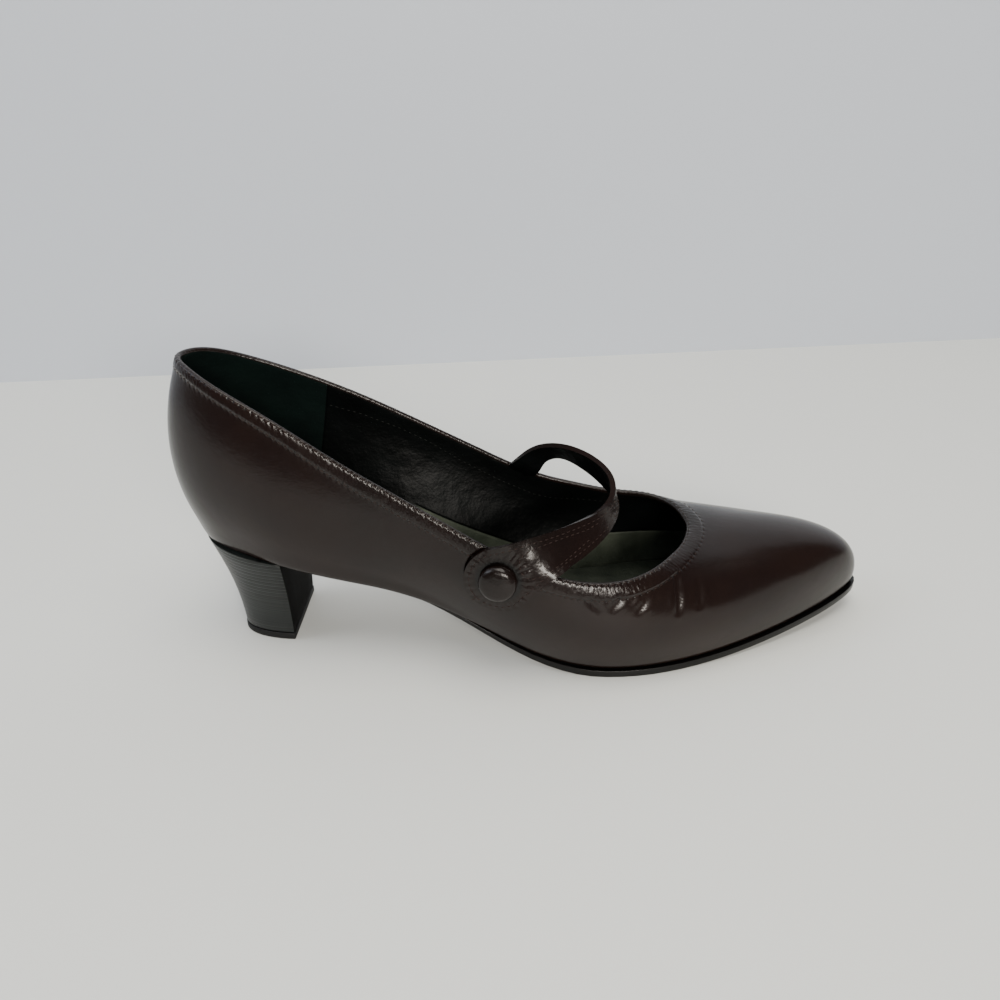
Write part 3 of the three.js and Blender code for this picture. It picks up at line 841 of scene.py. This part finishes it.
aim = (BUTTON - place(121, 0, 40)).normalized()
outer = face_side(strap, aim, BUTTON)
inner = face_side(strap, -aim, BUTTON)
for face in strap.data.polygons:
    face.material_index = 0 if face.index in outer else 1 if face.index in inner else 2
print("strap faces:", len(outer), "outer", len(inner), "inner of", len(strap.data.polygons))
near = [f for f in strap.data.polygons
        if f.index in outer and (f.center - BUTTON).length < 14 * MM]
tab_out = sum((f.normal * f.area for f in near), Vector()).normalized()
tab_forward = (Vector((1, 0, 0)) - tab_out * tab_out.x).normalized()
tab_aside = tab_out.cross(tab_forward)
flat_map = strap.data.uv_layers.new(name="round_button")
for loop in strap.data.loops:
    off = strap.data.vertices[loop.vertex_index].co - BUTTON
    flat_map.data[loop.index].uv = (off.dot(tab_forward), off.dot(tab_aside))


def outline(piece, inset):
    """The rim of the strap's outer side as a closed line, moved in on it by the inset."""
    mesh = bmesh.new()
    mesh.from_mesh(piece.data)
    rim, inward = {}, {}
    for edge in mesh.edges:
        tops = [f for f in edge.link_faces if f.index in outer]
        if len(tops) != 1:
            continue
        middle = (edge.verts[0].co + edge.verts[1].co) / 2
        side = tops[0].normal.cross(edge.verts[0].co - edge.verts[1].co).normalized()
        if side.dot(tops[0].calc_center_median() - middle) < 0:
            side = -side
        for v, w in (edge.verts, reversed(edge.verts)):
            rim.setdefault(v.index, []).append(w.index)
            inward[v.index] = inward.get(v.index, Vector()) + side
    chain = [min(rim)]
    while len(chain) < len(rim):
        onward = [n for n in rim[chain[-1]] if n not in chain]
        if not onward:
            break
        chain.append(onward[0])
    mesh.verts.ensure_lookup_table()
    line = [mesh.verts[n].co + inward[n].normalized() * inset for n in chain]
    mesh.free()
    print("strap outline", len(line), "of", len(rim), "points")
    return line + line[:1]


EDGE_ROW = outline(strap, 2.0 * MM)
crest_line = [on_grid(length, lambda i: 0.001 * MM) for length in ALONG[:-1]]
crest_line = [p for p in crest_line if p.y > HEEL_Y + 10 * MM]


SEWN_FROM = 1.5 * MM       # height over the crest where the strap starts to thin
SEWN_DEPTH = 4 * MM        # how much lower it lies fully inside the wall
MID_WALL = 1.0 * MM
HALF_THIN = 0.3 * MM


def sewn_in(piece):
    """Draws the end of the strap into the wall of the upper, thinner the deeper it goes."""
    for vertex in piece.data.vertices:
        spot = vertex.co
        if spot.y < HEEL_Y + 14 * MM:
            continue
        edge = min(crest_line, key=lambda p: (p.xy - spot.xy).length)
        share = min(1, max(0, (edge.z + SEWN_FROM - spot.z) / SEWN_DEPTH))
        if share == 0:
            continue
        point, normal, _, _ = upper_skin.find_nearest(spot)
        if normal.y > 0:
            normal = -normal
        side = HALF_THIN if (spot - point).dot(normal) > 1.2 * MM else -HALF_THIN
        wall = point - normal * (MID_WALL - side)
        wall.z = spot.z
        vertex.co = spot.lerp(wall, share)


use(strap, "BEVEL", width=0.5 * MM, segments=2, limit_method="ANGLE")
sewn_in(strap)
use(strap, "SUBSURF", levels=2, render_levels=2)
bpy.ops.object.shade_smooth()
strap_skin = nearest_on(strap)
free_edge = [p for p in resampled(EDGE_ROW, STITCH) if p.y < HEEL_Y + 21 * MM]
stitch_row("strap_edge_stitches", free_edge, strap_skin, thread)
INNER_ROW = [(155.7, -18.0, 56.0), (152.0, -21.6, 55.5), (145.2, -26.6, 55.7),
             (136.4, -32.5, 55.3), (132.0, -35.1, 54.4), (129.4, -36.2, 52.6),
             (128.7, -36.7, 50.1), (129.7, -37.3, 47.0), (132.3, -37.9, 44.9),
             (135.0, -37.7, 45.4), (140.0, -36.2, 47.7), (143.6, -33.0, 48.8),
             (149.7, -26.7, 51.2), (154.3, -21.4, 52.8)]
inner_path = resampled([place(*p) for p in INNER_ROW], STITCH)
stitch_row("strap_inner_stitches", inner_path, strap_skin, thread)

# %% [markdown]
# ## Button
# A metal dome covered with the same calf. The leather is drawn tight over it, so it only
# wrinkles finely, and a dark shadow ring shows where it meets the tab.

# %% Button
button = quad_copy("button", "covered_button")
button.data.materials.append(button_calf)
use(button, "SUBSURF", levels=2, render_levels=2)
bpy.ops.object.shade_smooth()

# %% [markdown]
# ## Stage
# A white board on the floor and a wall some 30 cm behind the shoe. The board ends below the
# camera, so that the leather's upper half mirrors a dark room, as it does in the photo.


# %% Floor
def pale_paint(name, colour):
    material, shader = new_material(name, Roughness=0.55, IOR=1.45)
    spot = objects_place(material)
    cloud = add(material, "TexNoise", {"Vector": spot, "Scale": 6, "Detail": 3})
    shade = ramp(material, cloud.outputs["Fac"], (0.3, colour), (0.7, colour))
    link(material, shade, shader.inputs["Base Color"])
    return material


def one_sided(material):
    """Clear from behind, so that the shoe can be looked at from there too."""
    nodes = material.node_tree.nodes
    behind = add(material, "NewGeometry").outputs["Backfacing"]
    clear = add(material, "BsdfTransparent").outputs[0]
    paint = nodes["Principled BSDF"].outputs[0]
    both = add(material, "MixShader", {0: behind, 1: paint, 2: clear})
    link(material, both.outputs[0], nodes["Material Output"].inputs["Surface"])


FLOOR_FRONT = -0.33        # the board ends below the camera, and the room in front is dark
FLOOR_DEPTH = 3
bpy.ops.mesh.primitive_plane_add(size=1, location=(0, FLOOR_FRONT + FLOOR_DEPTH / 2, 0))
floor = bpy.context.object
floor.name = "floor"
floor.scale = (6, FLOOR_DEPTH, 1)
bpy.ops.object.transform_apply(location=True, rotation=True, scale=True)
floor.data.materials.append(pale_paint("white_painted_board", "d4d6d3"))

WALL_TURN = math.radians(9.7)
bpy.ops.mesh.primitive_plane_add(size=1, location=place(105, 289, 1000),
                                 rotation=(math.pi / 2, 0, WALL_TURN))
wall = bpy.context.object
wall.name = "wall"
wall.scale = (6, 2, 1)
bpy.ops.object.transform_apply(location=True, rotation=True, scale=True)
wall.data.materials.append(pale_paint("white_painted_wall", "c2c8d2"))
one_sided(wall.data.materials[0])

# %% [markdown]
# ## Light
# A dim room, a wide soft light overhead, another from the side of the heel, and a long lamp
# behind the camera, whose reflection makes the creases and the stitched band shine.

# %% Light
world = bpy.data.worlds.new("soft_room")
bpy.context.scene.world = world
world.use_nodes = True
world.node_tree.nodes["Background"].inputs["Color"].default_value = hexa("dfe4ea")
world.node_tree.nodes["Background"].inputs["Strength"].default_value = 0.16


def soft_light(name, place_at, aim, size, power, colour):
    bpy.ops.object.light_add(type="AREA", location=place_at)
    lamp = bpy.context.object
    lamp.name = name
    lamp.data.shape = "RECTANGLE"
    lamp.data.size, lamp.data.size_y = size
    lamp.data.energy = power
    lamp.data.color = hexa(colour)[:3]
    lamp.rotation_euler = (Vector(aim) - Vector(place_at)).to_track_quat("-Z", "Y").to_euler()


soft_light("ceiling_light", (0.1, -0.1, 1.3), (0.03, 0, 0), (0.9, 0.9), 16, "fffaf0")
soft_light("lamp_behind_camera", (0.36, -1.3, 0.62), (0.06, 0, 0.03), (0.7, 0.3), 26, "fff8ee")
soft_light("window_light", (-1.3, -0.2, 1.1), (0, 0, 0.03), (0.9, 0.9), 12, "eef4ff")

# %% [markdown]
# ## Camera
# It looks down across the shoe at the angle of the photo, from some 38 cm away.

# %% Camera
DOWN_ANGLE = 29.1
TURN_ANGLE = 2.6
bpy.ops.object.camera_add(location=place(134.6, -308.2, 226.5))
camera = bpy.context.object
camera.rotation_euler = (math.radians(90 - DOWN_ANGLE), 0, math.radians(TURN_ANGLE))
camera.data.lens = 34.2
camera.data.sensor_width = 36
camera.data.clip_start = 0.01
bpy.context.scene.camera = camera
